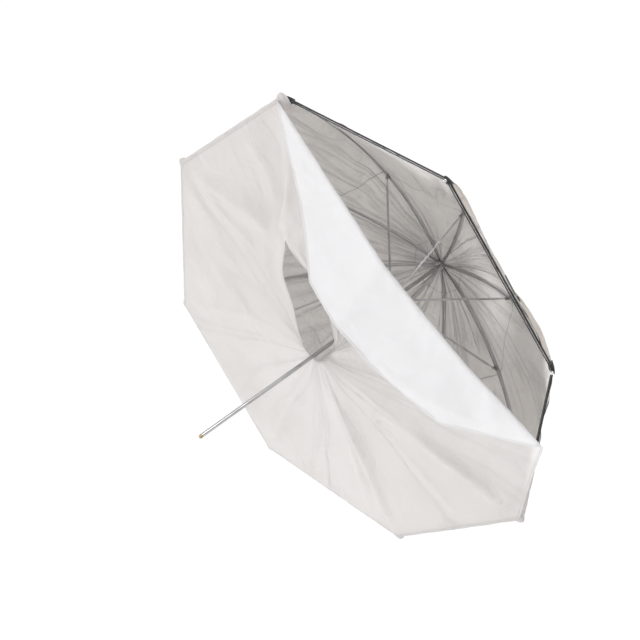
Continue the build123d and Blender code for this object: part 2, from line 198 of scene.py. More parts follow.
def seam_patterns(tree, place):
    """(1 on a seam's folded cloth, 1 on its stitches), from each point's distance to an edge."""
    edge = node(tree, "ShaderNodeAttribute", attribute_name="edge_m").outputs["Fac"]
    band = node(tree, "ShaderNodeMapRange")
    band.inputs["From Min"].default_value = SEAM_HALF
    band.inputs["From Max"].default_value = SEAM_HALF - 0.0008
    tree.links.new(edge, band.inputs["Value"])
    near = node(tree, "ShaderNodeMath", operation="COMPARE")
    near.inputs[1].default_value = STITCH_OFF
    near.inputs[2].default_value = STITCH_HALF
    tree.links.new(edge, near.inputs[0])
    dash = node(tree, "ShaderNodeMath", operation="MULTIPLY")
    tree.links.new(near.outputs["Value"], dash.inputs[0])
    tree.links.new(noise_value(tree, place, 260.0, 1.0), dash.inputs[1])
    return band.outputs["Result"], dash.outputs["Value"]


def pull_lines(tree, count):
    """Sharp creases that run from the cloth's middle to its edge: 0 in a crease, 1 beside it."""
    along = node(tree, "ShaderNodeAttribute", attribute_name="streak").outputs["Vector"]
    value = noise_value(tree, along, count, 3.0, distortion=0.8)
    centred = node(tree, "ShaderNodeMath", operation="SUBTRACT")
    centred.inputs[1].default_value = 0.5
    tree.links.new(value, centred.inputs[0])
    folded = node(tree, "ShaderNodeMath", operation="ABSOLUTE")
    tree.links.new(centred.outputs["Value"], folded.inputs[0])
    line = node(tree, "ShaderNodeMapRange")
    line.inputs["From Max"].default_value = 0.07
    tree.links.new(folded.outputs["Value"], line.inputs["Value"])
    return line.outputs["Result"]


def darkened(tree, colour, mask, share):
    """The colour, darkened by that share where the mask is 1."""
    mix = node(tree, "ShaderNodeMix", data_type="RGBA", blend_type="MULTIPLY")
    tree.links.new(mask, mix.inputs["Factor"])
    tree.links.new(colour, mix.inputs[6])
    mix.inputs[7].default_value = (1 - share, 1 - share, 1 - share, 1)
    return mix.outputs[2]


def cloth_material(name, low, high, roughness, metallic=0.0, crease=0.0012, sheen=0.0,
                   through=0.3, seam_shade=0.12, pulls=5.0, pull_depth=0.002, crease_painted_shade=0.1):
    """Thin woven cloth that lets some light through: soft colour changes, a fine weave, sewn
    seams, and the creases of being packed, with painted shade darkening the colour along them."""
    material, tree, shader, place = new_material(name, high, roughness, metallic)
    tint = noise_value(tree, place, 5.0, 4.0)
    colour = colour_between(tree, tint, low, high)
    band, stitches = seam_patterns(tree, place)
    colour = darkened(tree, colour, band, seam_shade)
    colour = darkened(tree, colour, stitches, seam_shade * 2.5)
    lines = pull_lines(tree, pulls)
    # painted shade: the cloth's colour is darkened along the crease lines, where shade falls in them
    crease_painted_shade_mask = node(tree, "ShaderNodeMapRange")
    crease_painted_shade_mask.inputs["From Max"].default_value = 0.5
    crease_painted_shade_mask.inputs["To Min"].default_value = 1.0
    crease_painted_shade_mask.inputs["To Max"].default_value = 0.0
    tree.links.new(lines, crease_painted_shade_mask.inputs["Value"])
    colour = darkened(tree, colour, crease_painted_shade_mask.outputs["Result"], crease_painted_shade)
    tree.links.new(colour, shader.inputs["Base Color"])
    gloss = noise_value(tree, place, 30.0, 3.0)
    tree.links.new(
        value_between(tree, gloss, roughness - 0.08, roughness + 0.08), shader.inputs["Roughness"]
    )
    creases = noise_value(tree, place, 14.0, 4.0, distortion=1.2)
    add_bump(tree, shader, lines, pull_depth)
    add_bump(tree, shader, creases, crease * 8)
    add_bump(tree, shader, noise_value(tree, place, 75.0, 3.0), crease)
    add_bump(tree, shader, weave(tree, place, 0.0008), 0.0001, 0.5)
    add_bump(tree, shader, band, 0.0006)
    shader.inputs["Sheen Weight"].default_value = sheen
    glow = node(tree, "ShaderNodeBsdfTranslucent")
    tree.links.new(colour, glow.inputs["Color"])
    mix = node(tree, "ShaderNodeMixShader", Fac=through)
    tree.links.new(shader.outputs["BSDF"], mix.inputs[1])
    tree.links.new(glow.outputs["BSDF"], mix.inputs[2])
    tree.links.new(mix.outputs["Shader"], tree.nodes["Material Output"].inputs["Surface"])
    return material


def cover_white():
    return cloth_material("cover white cloth", (0.93, 0.91, 0.90), (0.96, 0.95, 0.945), 0.72,
                          crease=0.0012, sheen=0.1, through=0.62, seam_shade=0.05, pulls=2.4,
                          pull_depth=0.0018, crease_painted_shade=0.03)


# painted light: the folded-over part is the same cloth as the rest of the cover, given a lighter,
# cooler colour that stands for the brighter light it takes as a double layer
def flap_painted_lit_white():
    return cloth_material("folded cover cloth painted lit", (0.93, 0.925, 0.935), (0.95, 0.95, 0.96), 0.72,
                          crease=0.0004, sheen=0.1, through=0.4, seam_shade=0.05, pulls=2.0,
                          pull_depth=0.001, crease_painted_shade=0.01)


def canopy_silver():
    return cloth_material("silver coating", (0.91, 0.905, 0.90), (0.96, 0.955, 0.95), 0.45,
                          metallic=0.05, crease=0.0016, through=0.28, seam_shade=0.15, pulls=5.0,
                          pull_depth=0.003, crease_painted_shade=0.13)


def canopy_outside():
    return cloth_material("canopy outside cloth", (0.60, 0.55, 0.50), (0.80, 0.76, 0.71), 0.62,
                          crease=0.0016, sheen=0.1, through=0.4, pulls=5.0,
                          pull_depth=0.003, crease_painted_shade=0.10)


def black_tape():
    """Matt woven tape with a visible cross rib."""
    material, tree, shader, place = new_material("black binding tape", (0.018, 0.018, 0.02), 0.7)
    fade = noise_value(tree, place, 60.0)
    shade = colour_between(tree, fade, (0.012, 0.012, 0.013), (0.035, 0.035, 0.038))
    tree.links.new(shade, shader.inputs["Base Color"])
    add_bump(tree, shader, weave(tree, place, 0.0012), 0.0003)
    add_bump(tree, shader, noise_value(tree, place, 150.0), 0.0004)
    shader.inputs["Sheen Weight"].default_value = 0.2
    return material


def metal(name, colour, roughness, grain_scale, stretch=None, metallic=1.0):
    """Bare metal with drawn grain and handling marks."""
    material, tree, shader, place = new_material(name, colour, roughness, metallic)
    grain = noise_value(tree, place, grain_scale, 5.0, stretch)
    tree.links.new(
        value_between(tree, grain, roughness * 0.6, roughness * 1.5), shader.inputs["Roughness"]
    )
    marks = noise_value(tree, place, 35.0, 4.0)
    worn = tuple(part * 0.78 for part in colour)
    tree.links.new(colour_between(tree, marks, worn, colour, 0.3, 0.55), shader.inputs["Base Color"])
    add_bump(tree, shader, grain, 0.0001, 0.4)
    return material


def paint(name, colour, roughness, metallic=0.0):
    """Black paint or plastic: fine orange-peel, and paler where hands and cloth rub it."""
    material, tree, shader, place = new_material(name, colour, roughness, metallic)
    rub = noise_value(tree, place, 90.0, 5.0)
    pale = tuple(part * 2.2 + 0.01 for part in colour)
    tree.links.new(colour_between(tree, rub, colour, pale, 0.45, 0.8), shader.inputs["Base Color"])
    tree.links.new(
        value_between(tree, rub, roughness - 0.1, roughness + 0.12), shader.inputs["Roughness"]
    )
    add_bump(tree, shader, noise_value(tree, place, 900.0, 2.0), 0.00008, 0.6)
    return material


SHAFT_STEEL = metal("chromed shaft", (0.56, 0.56, 0.57), 0.2, 500.0, (1.0, 0.05, 1.0))
SPRING_STEEL = metal("spring steel", (0.5, 0.5, 0.5), 0.32, 800.0)
BRASS = metal("dull brass", (0.42, 0.33, 0.17), 0.38, 700.0)
HUB_METAL = metal("cast hub", (0.58, 0.58, 0.59), 0.34, 900.0)
BRACKET_METAL = metal("pressed bracket", (0.42, 0.42, 0.43), 0.35, 900.0)
TIP_METAL = metal("bright tip", (0.78, 0.78, 0.78), 0.16, 900.0)
RIB_STEEL = metal("plated ribs", (0.50, 0.50, 0.51), 0.34, 600.0)
STRETCHER_STEEL = metal("plated stretchers", (0.66, 0.66, 0.67), 0.3, 600.0)
BLACK_PLASTIC = paint("moulded black plastic", (0.018, 0.018, 0.018), 0.5)
SNAP_BLACK = paint("press stud", (0.03, 0.03, 0.032), 0.3)
BLACK_TAPE = black_tape()
COVER_WHITE = cover_white()
FLAP_PAINTED_LIT_WHITE = flap_painted_lit_white()
CANOPY_SILVER = canopy_silver()
CANOPY_OUTSIDE = canopy_outside()

CAD_MATERIALS = {
    "shaft": SHAFT_STEEL,
    "open_catch": SPRING_STEEL,
    "end_plug": BRASS,
    "notch": HUB_METAL,
    "notch_wire": SPRING_STEEL,
    "crown_cap": BLACK_PLASTIC,
    "crown_washer": BLACK_PLASTIC,
    "runner": BLACK_PLASTIC,
    "runner_wire": SPRING_STEEL,
}


def paint_frame():
    """Gives every CAD node that stays its own material."""
    for number in range(1, RIBS + 1):
        CAD_MATERIALS[f"rib_{number}"] = RIB_STEEL
        CAD_MATERIALS[f"rib_bracket_{number}"] = BRACKET_METAL
        CAD_MATERIALS[f"rib_tip_{number}"] = TIP_METAL
        CAD_MATERIALS[f"stretcher_{number}"] = STRETCHER_STEEL
    for name, material in CAD_MATERIALS.items():
        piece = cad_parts[name]
        piece.data.materials.clear()
        piece.data.materials.append(material)


# --- meshes ------------------------------------------------------------------------------------
def new_piece(name, points, faces, material):
    mesh = bpy.data.meshes.new(name)
    mesh.from_pydata([tuple(p) for p in points], [], faces)
    mesh.validate()
    for face in mesh.polygons:
        face.use_smooth = True
    mesh.materials.append(material)
    piece = bpy.data.objects.new(name, mesh)
    bpy.context.scene.collection.objects.link(piece)
    return piece


def strip(name, rows, material, closed=False):
    """Surface through rows of points, each row as long as the next."""
    count = len(rows[0])
    points = [p for row in rows for p in row]
    ring = len(rows) if closed else len(rows) - 1
    faces = []
    for i in range(ring):
        for j in range(count - 1):
            a, b = i * count + j, (i + 1) % len(rows) * count + j
            faces.append((a, a + 1, b + 1, b))
    return new_piece(name, points, faces, material)


def bake_down(piece):
    """Applies every modifier on a piece."""
    bpy.context.view_layer.update()
    depsgraph = bpy.context.evaluated_depsgraph_get()
    mesh = bpy.data.meshes.new_from_object(piece.evaluated_get(depsgraph))
    piece.modifiers.clear()
    piece.data = mesh
    return piece


def refine(piece, levels=1):
    modifier = piece.modifiers.new("refine", "SUBSURF")
    modifier.levels = levels
    modifier.render_levels = levels
    return bake_down(piece)


def settle(piece, pinned, growth, gravity, cap, frames=24):
    """Lets a sheet buckle and sag as cloth, held at its pinned points, and moved cap at most."""
    before = [v.co.copy() for v in piece.data.vertices]
    group = piece.vertex_groups.new(name="held")
    group.add(pinned, 1.0, "REPLACE")
    cloth = piece.modifiers.new("cloth", "CLOTH")
    cloth.settings.quality = 6
    cloth.settings.mass = 0.1
    cloth.settings.tension_stiffness = 12
    cloth.settings.compression_stiffness = 12
    cloth.settings.shear_stiffness = 6
    cloth.settings.bending_stiffness = 0.02
    cloth.settings.air_damping = 3
    cloth.settings.vertex_group_mass = "held"
    cloth.settings.shrink_min = -growth
    cloth.settings.effector_weights.gravity = gravity
    cloth.collision_settings.use_collision = False
    cloth.point_cache.frame_end = frames
    scene = bpy.context.scene
    for number in range(1, frames + 1):
        scene.frame_set(number)
    bake_down(piece)
    scene.frame_set(1)
    for vertex, old in zip(piece.data.vertices, before):
        move = vertex.co - old
        if move.length > cap:
            vertex.co = old + move * (cap / move.length)
    piece.vertex_groups.clear()
    return piece


def mark_cloth(sheet, distances, streaks):
    """Keeps, for the cloth's look, each point's distance to the nearest seam or edge in metres,
    and a place that changes fast round the sheet's middle and slowly away from it."""
    kept = sheet.data.attributes.new("edge_m", "FLOAT", "POINT")
    kept.data.foreach_set("value", distances)
    kept = sheet.data.attributes.new("streak", "FLOAT_VECTOR", "POINT")
    kept.data.foreach_set("vector", [part for place in streaks for part in place])


def copy_marks(sheet, used, mesh):
    """Copies those marks onto both layers of a piece made from some of the sheet's points."""
    edges = sheet.data.attributes["edge_m"].data
    kept = mesh.attributes.new("edge_m", "FLOAT", "POINT")
    kept.data.foreach_set("value", [edges[v].value for v in used] * 2)
    streaks = sheet.data.attributes["streak"].data
    kept = mesh.attributes.new("streak", "FLOAT_VECTOR", "POINT")
    kept.data.foreach_set("vector", [part for v in used for part in streaks[v].vector] * 2)


def cloth_parts(sheet):
    """The faces of a sheet by their material number, which marks the part each belongs to."""
    parts = {}
    for face in sheet.data.polygons:
        parts.setdefault(face.material_index, []).append(tuple(face.vertices))
    return parts


def two_faced(name, sheet, faces, thick, face_material, back_material):
    """Closed thin piece of cloth from some faces of a sheet, shaded as the whole sheet is."""
    normals = {}
    used = sorted({v for face in faces for v in face})
    place = {v: i for i, v in enumerate(used)}
    for v in used:
        normals[v] = Vector(sheet.data.vertex_normals[v].vector)
    count = len(used)
    points = [sheet.data.vertices[v].co + normals[v] * thick / 2 for v in used]
    points += [sheet.data.vertices[v].co - normals[v] * thick / 2 for v in used]
    made = [tuple(place[v] for v in face) for face in faces]
    back = [tuple(count + v for v in reversed(face)) for face in made]
    sides = {}
    for face in made:
        for a, b in zip(face, face[1:] + face[:1]):
            if (b, a) in sides:
                del sides[(b, a)]
            else:
                sides[(a, b)] = True
    rim = [(b, a, a + count, b + count) for a, b in sides]
    mesh = bpy.data.meshes.new(name)
    mesh.from_pydata([tuple(p) for p in points], [], made + back + rim)
    mesh.materials.append(face_material)
    mesh.materials.append(back_material)
    for index, face in enumerate(mesh.polygons):
        face.use_smooth = True
        face.material_index = 0 if index < len(made) else 1
    shaded = [tuple(normals[v]) for v in used] + [tuple(-normals[v]) for v in used]
    mesh.normals_split_custom_set_from_vertices(shaded)
    copy_marks(sheet, used, mesh)
    piece = bpy.data.objects.new(name, mesh)
    bpy.context.scene.collection.objects.link(piece)
    return piece


# --- canopy ------------------------------------------------------------------------------------
GORE_COLUMNS = 24
CANOPY_ROWS = 44
GORE_SAG = 0.007
RING_SEAM_SHARE = 0.46     # a seam runs round the canopy near the fittings
PATCH_SHARE = 0.09         # edge of the patch that strengthens it round the shaft


def canopy_crease(share, between, gore):
    """Height of the creases across a gore: pleats from the crown, and pulls from the tips."""
    edge = smooth(4 * between) * smooth(4 * (1 - between))
    turn = 3.5 * between + 0.37 * gore + 0.5 * noise.noise(Vector((between * 4, gore * 3, share)))
    pleat = (0.5 - abs(sin(pi * turn)) ** 0.5) * exp(-share / 0.45) * 0.0055
    fan = 0.0
    for side in (between, 1 - between):
        reach = hypot(side * share * 0.38, (1 - share) * 0.58)
        turn = atan2(side * share * 0.38 + 0.002, (1 - share) * 0.58 + 0.002)
        fan += sin(9 * turn + gore) * exp(-reach / 0.16) * 0.0018
    place = Vector((between * 3.2 + gore * 5.0, share * 1.1, 0.0))
    ridge = 1 - abs(noise.noise(place * 2.3)) * 2.4
    folds = ridge * 0.0028 + noise.noise(place * 1.3 + Vector((7, 3, 1))) * 0.004
    return (pleat + fan + folds * smooth(share * 5)) * edge


def canopy_place(share, turn):
    """Point of the canopy at that share of the ribs, turn steps round from rib 1."""
    gore = int(turn) % RIBS
    between = turn - int(turn)
    r, y = rib_place(share, CLOTH_RISE)
    a = round_shaft(r, y, STEP * gore)
    b = round_shaft(r, y, STEP * (gore + 1))
    middle = round_shaft(1.0, 0.0, STEP * (gore + 0.5))
    low = rib_place(share, CLOTH_RISE - 0.01)
    outward = (middle * (r - low[0]) + Vector((0, y - low[1], 0))).normalized()
    sag = GORE_SAG * 4 * between * (1 - between) * sin(pi * min(1.0, share * 1.15)) ** 0.8
    return a.lerp(b, between) + outward * (canopy_crease(share, between, gore) - sag)


def canopy_sheet():
    """The whole canopy as one sheet, its faces marked by the rib that each lies nearest to."""
    columns = RIBS * GORE_COLUMNS
    points = []
    for i in range(CANOPY_ROWS + 1):
        share = START_SHARE + (CANOPY_END_SHARE - START_SHARE) * i / CANOPY_ROWS
        for j in range(columns):
            points.append(canopy_place(share, j / GORE_COLUMNS))
    faces = []
    marks = []
    for i in range(CANOPY_ROWS):
        for j in range(columns):
            a, b = i * columns + j, i * columns + (j + 1) % columns
            faces.append((a, b, b + columns, a + columns))
            marks.append(int(j / GORE_COLUMNS + 0.5) % RIBS)
    sheet = new_piece("whole canopy", points, faces, CANOPY_OUTSIDE)
    for _ in range(RIBS - 1):
        sheet.data.materials.append(CANOPY_OUTSIDE)
    for face, mark in zip(sheet.data.polygons, marks):
        face.material_index = mark
    distances = []
    streaks = []
    for i in range(CANOPY_ROWS + 1):
        share = START_SHARE + (CANOPY_END_SHARE - START_SHARE) * i / CANOPY_ROWS
        r = rib_place(share)[0]
        for j in range(columns):
            turn = j / GORE_COLUMNS
            to_rib = abs(turn - round(turn)) * STEP * r
            to_ring = abs(share - RING_SEAM_SHARE) * ARC_LENGTH
            to_patch = abs(share - PATCH_SHARE) * ARC_LENGTH
            to_edge = (CANOPY_END_SHARE - share) * ARC_LENGTH
            distances.append(min(to_rib, to_ring, to_patch, to_edge))
            streaks.append((cos(STEP * turn), sin(STEP * turn), share * 0.2))
    mark_cloth(sheet, distances, streaks)
    held = []
    for i in range(CANOPY_ROWS + 1):
        for j in range(columns):
            if i == 0 or j % GORE_COLUMNS == 0 or i == CANOPY_ROWS and j % 3 == 0:
                held.append(i * columns + j)
    settle(sheet, held, 0.012, 0.15, 0.006)
    return refine(sheet)


def canopy_number(mark):
    """The rib that a part of the canopy lies on: marks go from rib 1 towards +X."""
    return (RIBS - mark) % RIBS + 1


def fold_with(piece, number):
    """A piece of cloth on a rib moves with that rib."""
    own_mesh(piece)
    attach(piece, f"rib_unit_{number}")


def make_canopy():
    sheet = canopy_sheet()
    for mark, faces in cloth_parts(sheet).items():
        number = canopy_number(mark)
        piece = two_faced(
            f"canopy_cloth_{number}", sheet, faces, CLOTH_THICK, CANOPY_SILVER, CANOPY_OUTSIDE
        )
        fold_with(piece, number)
        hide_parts(f"canopy_{number}")
    bpy.data.objects.remove(sheet)


def hem_rows(number, shares, rise, columns=12):
    """Rows along the canopy's edge over one rib's part of it, a row for each share."""
    rows = []
    start = (RIBS - (number - 1)) % RIBS
    for share, lift in zip(shares, rise):
        row = []
        for j in range(-columns, columns + 1):
            turn = (start + j / columns / 2) % RIBS
            gore = int(turn)
            between = turn - gore
            r, y = rib_place(share, CLOTH_RISE + lift)
            a = round_shaft(r, y, STEP * gore)
            b = round_shaft(r, y, STEP * (gore + 1))
            row.append(a.lerp(b, between))
        rows.append(row)
    return rows


def make_hems():
    """Black tape folded over the canopy's edge, one length of it on each rib."""
    for number in range(1, RIBS + 1):
        shares = (0.974, 0.984, 0.9885, 0.9885, 0.984, 0.974)
        rises = (0.0012, 0.0016, 0.0008, -0.0008, -0.0016, -0.0012)
        piece = strip(f"edge_tape_{number}", hem_rows(number, shares, rises), BLACK_TAPE, closed=True)
        fold_with(piece, number)


def make_tip_pockets():
    """Short black pockets sewn in the canopy's edge, with the ribs' ends held in them."""
    shares = (0.955, 0.972, 0.9885, 0.9885, 0.972, 0.955)
    rises = (0.0012, 0.0020, 0.0012, -0.0050, -0.0085, -0.0085)
    half = 0.009       # half a pocket's width
    columns = 6        # columns of its mesh to each side of the rib
    for number in range(1, RIBS + 1):
        rows = []
        for share, lift in zip(shares, rises):
            row = []
            for j in range(-columns, columns + 1):
                bulge = 1 - (j / columns) ** 4
                r, y = rib_place(share, CLOTH_RISE + (lift - 0.0008) * bulge + 0.0008)
                row.append(round_shaft(r, y, rib_angle(number) + half * j / columns / r))
            rows.append(row)
        piece = strip(f"tip_pocket_{number}", rows, BLACK_TAPE, closed=True)
        fold_with(piece, number)


ZIP_TOOTH = 0.003          # pitch of the zip's coil
ZIP_R = 0.0015


def make_zip():
    """Coil of the zip along the canopy's side of the opening, in the edge tape."""
    around = 8
    for number, first, last in ((1, -1, 0), (8, -1, 1), (7, -1, 1), (6, 0, 1)):
        start = (RIBS - (number - 1)) % RIBS
        r, y = rib_place(0.9885, CLOTH_RISE - 0.0034)
        side = STEP * r / 2
        count = round((last - first) * side / (ZIP_TOOTH / 4))
        rows = [[] for _ in range(around)]
        for k in range(count + 1):
            turn = (start - (first + (last - first) * k / count) / 2) % RIBS
            gore = int(turn)
            a = round_shaft(r, y, STEP * gore)
            b = round_shaft(r, y, STEP * (gore + 1))
            centre = a.lerp(b, turn - gore)
            out = Vector((centre.x, 0, centre.z)).normalized()
            radius = ZIP_R * (0.75 + 0.25 * cos(pi / 2 * k))
            for i in range(around):
                angle = 2 * pi * i / around
                rows[i].append(centre + (out * cos(angle) + Vector((0, sin(angle), 0))) * radius)
        piece = strip(f"zip_coil_{number}", rows, SNAP_BLACK, closed=True)
        fold_with(piece, number)


# --- front cover ----------------------------------------------------------------------------------
HALF_COLUMNS = 16                     # columns of the cover's mesh to half a side
COVER_COLUMNS = 2 * RIBS * HALF_COLUMNS
COVER_ROWS = 44
FOLD_COLUMN = round(radians(57.8) / (STEP / 2 / HALF_COLUMNS))


def flat_corner(number):
    """(x, z) of the cover's corner at that rib, before it is folded."""
    angle = rib_angle(number)
    return Vector((FRONT_RIM_R * sin(angle), FRONT_RIM_R * cos(angle)))


FOLD_START = flat_corner(1)
FOLD_END = (flat_corner(6) + flat_corner(7)) / 2
FOLD_LENGTH = (FOLD_END - FOLD_START).length
FOLD_DIR = (FOLD_END - FOLD_START) / FOLD_LENGTH
FOLD_SIDE = Vector((-FOLD_DIR.y, FOLD_DIR.x))      # points at the part that is folded over
SLIT_TOP = 0.235                      # the slit's upper end in the flat cloth
SLIT_TOP_PULL = Vector((-0.049, -0.009))
SLIT_LEFT = -0.042                    # how far its edges are pushed aside
SLIT_RIGHT = 0.056
ROLL_R = 0.006                        # how tightly the cloth turns at the fold
FOLD_END_PULL = Vector((0.030, 0.018))


def side_distance(place):
    return (place - FOLD_START).dot(FOLD_SIDE)


def fold_share(place):
    """How far along the fold that point is, from 0 at its upper end to 1."""
    return (place - FOLD_START).dot(FOLD_DIR) / FOLD_LENGTH


def rim_distance(angle):
    """Shaft's axis to the middle line of the side or corner in that direction."""
    off = (angle + STEP / 2) % STEP - STEP / 2
    return FRONT_RIM_R * cos(STEP / 2) / cos(STEP / 2 - abs(off))


def rim_share(place):
    return min(1.0, place.length / rim_distance(atan2(place.x, place.y)))


def reach_at(place):
    """How far the cover is forward of its rim there."""
    return FRONT_REACH * (1 - rim_share(place)) ** 1.3


def slit_shift(place, side):
    """How far the cloth beside the slit is pushed aside to open it."""
    if place.y > SLIT_TOP:
        return Vector((0, 0))
    down = smooth((SLIT_TOP - place.y) / 0.09)
    low = smooth((place.y + 0.022) / 0.06)
    edge = SLIT_RIGHT if side > 0 else SLIT_LEFT
    return Vector((edge * down * low * exp(-abs(place.x) / 0.12), 0))


def slit_pull(place):
    """The slit's upper end is drawn to one side, and the cloth round it with it."""
    far = (place - Vector((0, SLIT_TOP))).length
    return SLIT_TOP_PULL * exp(-((far / 0.13) ** 2))


CREASES = [
    # from, to, height, width: straight pulls in the flat cloth; a negative height is a hollow
    ((0.0, 0.499), (0.0, 0.235), 0.020, 0.013),
    ((-0.353, 0.353), (0.0, 0.235), 0.030, 0.022),
    ((-0.060, 0.480), (-0.010, 0.240), -0.025, 0.070),
    ((-0.340, 0.325), (-0.110, 0.175), 0.009, 0.010),
    ((-0.499, 0.0), (-0.080, 0.050), 0.012, 0.022),
    ((-0.353, -0.353), (-0.030, -0.020), 0.011, 0.016),
    ((0.0, -0.499), (0.012, -0.020), 0.014, 0.013),
    ((0.353, -0.353), (0.020, -0.012), 0.014, 0.014),
    ((-0.120, 0.420), (-0.040, 0.290), 0.007, 0.009),
    ((-0.300, 0.120), (-0.150, -0.040), 0.006, 0.009),
    ((-0.330, 0.220), (-0.200, 0.120), 0.006, 0.008),
    ((-0.250, 0.020), (-0.120, -0.130), 0.005, 0.008),
    ((-0.060, -0.470), (0.000, -0.120), 0.005, 0.010),
    ((0.220, -0.420), (0.110, -0.190), 0.006, 0.012),
]


def crease_height(place):
    total = 0.0
    for start, end, height, width in CREASES:
        a, b = Vector(start), Vector(end)
        run = b - a
        along = (place - a).dot(run) / run.length_squared
        if not 0 < along < 1:
            continue
        off = abs((place - a - run * along).dot(Vector((-run.y, run.x)).normalized()))
        taper = smooth(along * 6) * smooth((1 - along) * 3)
        spread = width * (0.5 + along)
        total += height * taper * exp(-((off / spread) ** 1.3))
    drift = noise.noise(Vector((place.x * 5, place.y * 5, 2.0))) * 0.005
    ridge = 1 - abs(noise.noise(Vector((place.x * 11 + 4, place.y * 5, 9.0)))) * 2.5
    return total + drift + ridge * 0.0022


def cover_place(place, side):
    """Where a point of the flat cover lies, with its slit open and one side folded over."""
    off = side_distance(place)
    along = min(1.0, max(0.0, fold_share(place)))
    root = sqrt(off * off + ROLL_R**2)
    width = root * (0.60 + 0.42 * along) if off > 0 else root
    folded = place - FOLD_SIDE * (off + width - ROLL_R * exp(-abs(off) / 0.03))
    folded += FOLD_END_PULL * along**2 * exp(-abs(off) / (0.6 if off > 0 else 0.10))
    if off < 0:
        folded += (slit_shift(place, side) + slit_pull(place)) * smooth(-off / 0.09)
    else:
        hem = sin(pi * smooth((along - 0.33) / 0.55))
        folded -= FOLD_SIDE * 0.008 * hem * smooth(off / 0.2)
        folded -= FOLD_DIR * 0.022 * smooth(off / 0.15) * smooth(along * 1.2)
    calm = smooth((1 - rim_share(place)) * 6) * smooth(abs(off) / 0.06)
    forward = reach_at(folded) + crease_height(place) * calm
    gap = FOLD_GAP * (0.5 + 0.5 * off / root)
    if off > 0:
        wave = noise.noise(Vector((place.x * 7, place.y * 7, 5)))
        gap += 0.004 * smooth(off / 0.15) + 0.004 * wave * smooth(off / 0.05)
    return Vector((folded.x, FRONT_RIM_Y - forward - gap, folded.y))


def flat_cover():
    """The cover laid flat, as a wheel of faces, cut along the fold and a few lines beside it."""
    made = bmesh.new()
    side_of = made.verts.layers.int.new("side")
    rings = []
    for i in range(COVER_ROWS + 1):
        part = i / COVER_ROWS
        ring = []
        for j in range(COVER_COLUMNS + 1):
            angle = j * 2 * pi / COVER_COLUMNS
            r = FRONT_HOLE_R + (rim_distance(angle) - FRONT_HOLE_R) * part
            if j == COVER_COLUMNS and r > SLIT_TOP:
                ring.append(ring[0])
                continue
            vertex = made.verts.new((r * sin(angle), r * cos(angle), 0))
            vertex[side_of] = 1 if j < COVER_COLUMNS / 2 else -1
            ring.append(vertex)
        rings.append(ring)
    for low, high in zip(rings, rings[1:]):
        for j in range(COVER_COLUMNS):
            made.faces.new((low[j], low[j + 1], high[j + 1], high[j]))
    for off in (-0.016, -0.008, -0.003, 0.0, 0.003, 0.008, 0.016):
        at = FOLD_START + FOLD_SIDE * off
        bmesh.ops.bisect_plane(
            made,
            geom=made.verts[:] + made.edges[:] + made.faces[:],
            dist=0.0008,
            plane_co=(at.x, at.y, 0),
            plane_no=(FOLD_SIDE.x, FOLD_SIDE.y, 0),
        )
    return made, side_of


def cover_mark(centre):
    """Number of the part of the cover that a flat face belongs to; 7 and 8 are folded over."""
    angle = atan2(centre.x, centre.y)
    fold_angle = FOLD_COLUMN * 2 * pi / COVER_COLUMNS
    if side_distance(centre) > 0:
        return 7 if 0 <= angle < fold_angle else 8
    if 0 <= angle < fold_angle or -STEP / 2 < angle < 0:
        return 1
    if fold_angle <= angle < pi - STEP / 2:
        return 6
    return int(((-angle) % (2 * pi) + STEP / 2) / STEP) + 1


def flat_measures(made):
    """(width, length, area) of each part of the cover while it still lies flat."""
    parts = {}
    for face in made.faces:
        centre = face.calc_center_median()
        mark = cover_mark(Vector((centre.x, centre.y)))
        part = parts.setdefault(mark, {"area": 0.0, "x": [], "y": []})
        part["area"] += face.calc_area()
        part["x"] += [v.co.x for v in face.verts]
        part["y"] += [v.co.y for v in face.verts]
    return {
        mark: (max(p["x"]) - min(p["x"]), max(p["y"]) - min(p["y"]), p["area"])
        for mark, p in parts.items()
    }


def cover_sheet():
    made, side_of = flat_cover()
    measures = flat_measures(made)
    flat = []
    for vertex in made.verts:
        place = Vector((vertex.co.x, vertex.co.y))
        flat.append((place.x, place.y))
        side = vertex[side_of]
        if side == 0:
            side = 1 if place.x > 0 else -1
        vertex.co = cover_place(place, side)
    made.verts.index_update()
    for face in made.faces:
        places = [Vector(flat[v.index]) for v in face.verts]
        face.material_index = cover_mark(sum(places, Vector((0, 0))) / len(places))
    mesh = bpy.data.meshes.new("whole cover")
    bmesh.ops.recalc_face_normals(made, faces=made.faces[:])
    made.to_mesh(mesh)
    made.free()
    sheet = bpy.data.objects.new("whole cover", mesh)
    bpy.context.scene.collection.objects.link(sheet)
    for _ in range(9):
        mesh.materials.append(COVER_WHITE)
    distances = []
    streaks = []
    for place in flat:
        to_rim = rim_distance(atan2(*place)) - hypot(*place)
        to_hole = hypot(*place) - FRONT_HOLE_R
        to_slit = abs(place[0]) if 0 < place[1] < SLIT_TOP else 1.0
        distances.append(min(to_rim, to_hole, to_slit))
        angle = atan2(*place)
        streaks.append((cos(angle), sin(angle), hypot(*place) * 0.5))
    mark_cloth(sheet, distances, streaks)
    held = []
    for index, place in enumerate(flat):
        place = Vector(place)
        share = place.length / rim_distance(atan2(place.x, place.y))
        if share > 0.985 or place.length < FRONT_HOLE_R + 0.012:
            held.append(index)
        elif abs(side_distance(place)) < 0.01:
            held.append(index)
        elif abs(place.x) < 0.004 and place.y > 0:
            held.append(index)
    settle(sheet, held, 0.006, 0.3, 0.005)
    return refine(sheet), measures


COVER_NAMES = {number: f"front_{number}" for number in range(1, 7)}
COVER_NAMES[7] = "flap_upper"
COVER_NAMES[8] = "flap_lower"


def cover_body(mark):
    return {7: 1, 8: 6}.get(mark, mark)


def fold_cover(piece, number):
    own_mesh(piece)
    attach(piece, f"cover_{number}")


def rim_point(number, step, out, back):
    """Point at the cover's rim, step half-sides round from that corner, out and back from it."""
    angle = rib_angle(number) + STEP / 2 * step
    r = rim_distance(angle) + out
    return Vector((r * sin(angle), FRONT_RIM_Y + back, r * cos(angle)))


